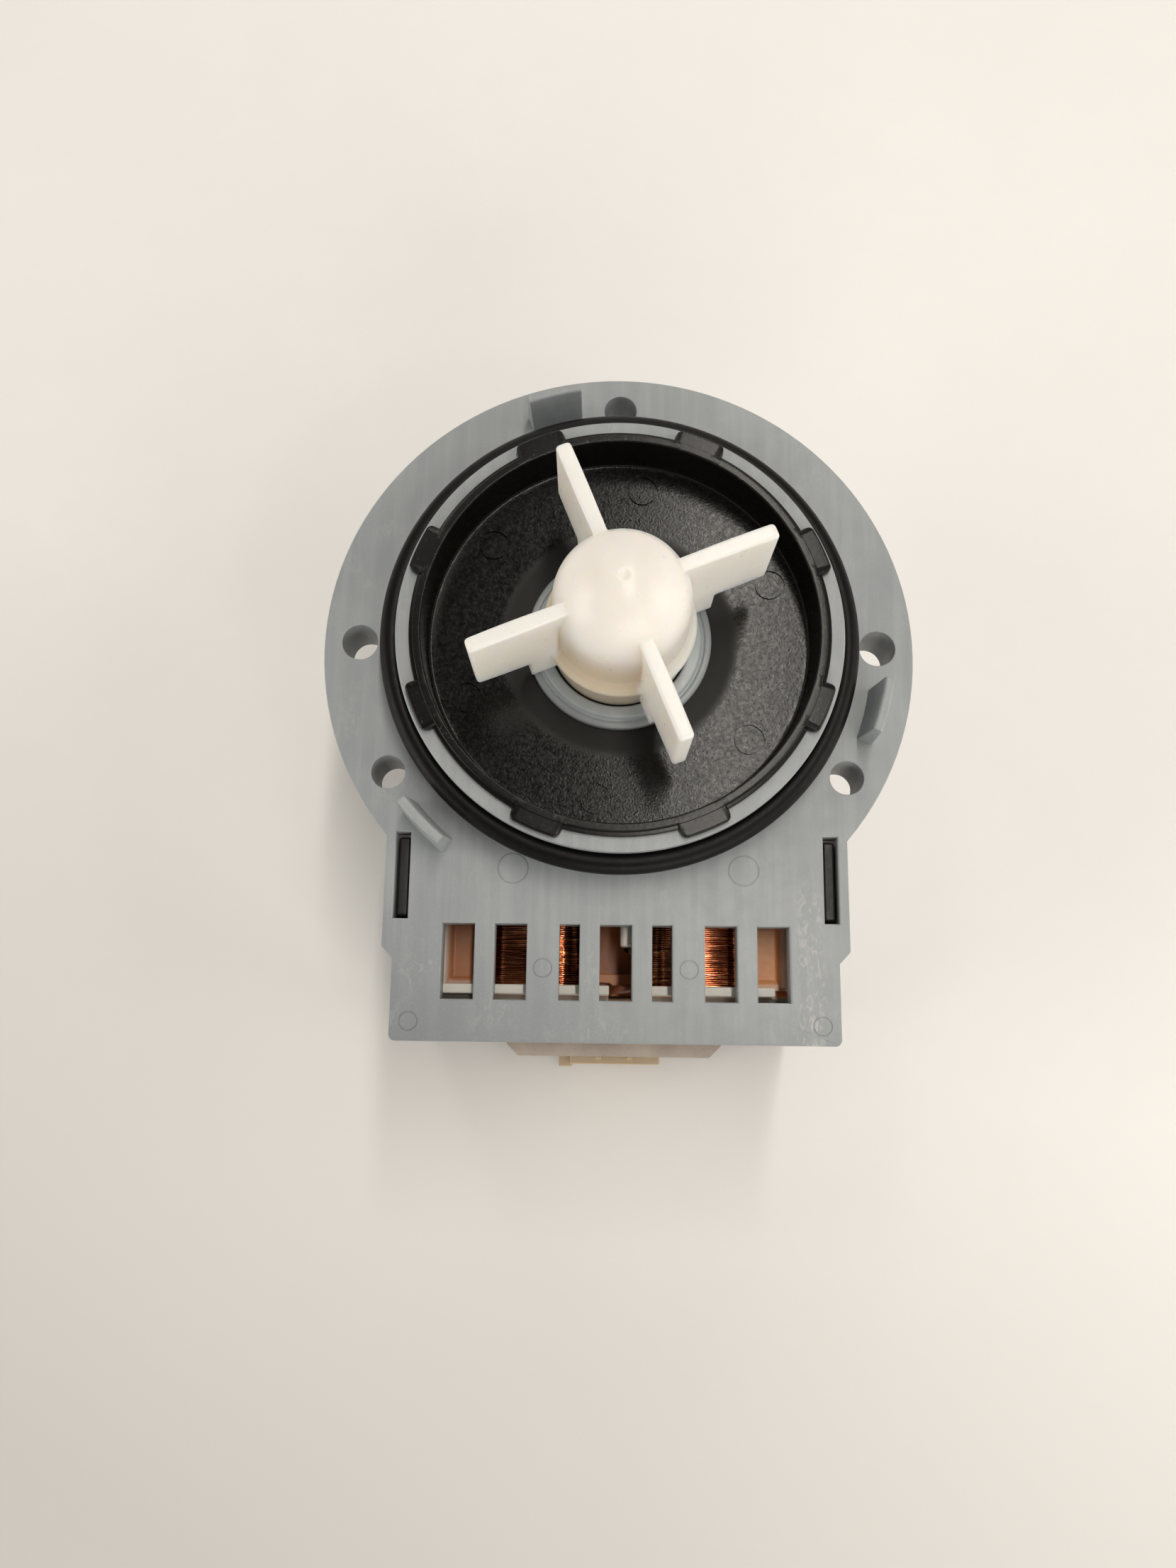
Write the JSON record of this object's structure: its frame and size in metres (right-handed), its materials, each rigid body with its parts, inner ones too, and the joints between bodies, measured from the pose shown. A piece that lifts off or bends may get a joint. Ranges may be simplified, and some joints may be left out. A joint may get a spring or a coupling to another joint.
{
  "type": "washer drain pump",
  "caption": "Washing machine drain pump motor with a round screw flange, O-ring collar, open-vane impeller on a spinning rotor, coil box with windows and a plug socket.",
  "frame": {"origin": "on the pump axis, at the front face of the mounting flange", "axes": "+Z along the pump axis towards the impeller's dome, -Y towards the coil box and its plug socket, +X to the right in the picture"},
  "size_m": [0.095, 0.1145, 0.0818],
  "materials": {
    "gray_plastic": "satin",
    "black_plastic": "satin",
    "black_rubber": "matte",
    "pale_gray_plastic": "satin",
    "white_plastic": "satin",
    "ivory_plastic": "satin",
    "dark_plastic": "satin",
    "sintered_bronze": "matte",
    "ground_steel": "polished",
    "lamination_steel": "satin",
    "ferrite": "matte",
    "enamelled_copper": "satin",
    "lead_sleeve": "satin",
    "fuse_ceramic": "satin",
    "tinned_brass": "satin",
    "washer_nylon": "satin"
  },
  "bodies": {
    "motor": {"mounting_flange": "gray_plastic", "flange_ribs": "gray_plastic", "flange_collar": "gray_plastic", "rotor_can": "gray_plastic", "coil_box_walls": "gray_plastic", "stator_clips": "gray_plastic", "rotor_cover": "black_plastic", "collar_o_ring": "black_rubber", "seal_carrier": "pale_gray_plastic", "shaft_seal": "black_rubber", "front_bush": "sintered_bronze", "front_bush_cup": "black_rubber", "rear_bush": "sintered_bronze", "rear_bush_cup": "black_rubber", "stator_poles": "lamination_steel", "stator_yoke": "lamination_steel", "core_rivets": "ground_steel", "coil_bobbin": "ivory_plastic", "left_coil": "enamelled_copper", "right_coil": "enamelled_copper", "coil_leads": "lead_sleeve", "thermal_fuse": "fuse_ceramic", "connector_shroud": "ivory_plastic", "terminal_blades": "tinned_brass", "rear_cover": "black_plastic"},
    "rotor": {"rotor_shaft": "ground_steel", "magnet_hub": "dark_plastic", "rotor_magnet": "ferrite", "thrust_washers": "washer_nylon", "drive_dog": "dark_plastic", "dog_pads": "black_rubber"},
    "impeller": {"impeller_hub": "white_plastic", "impeller_vanes": "white_plastic", "hub_plug": "white_plastic"}
  },
  "joints": [
    {"name": "rotor_spin", "type": "hinge", "parent": "motor", "child": "rotor", "pos_m": [0, 0, 0], "axis": [0, 0, 1], "continuous": true},
    {"name": "impeller_play", "type": "hinge", "parent": "rotor", "child": "impeller", "pos_m": [0, 0, 0], "axis": [0, 0, 1], "range_deg": [-84, 84]}
  ]
}
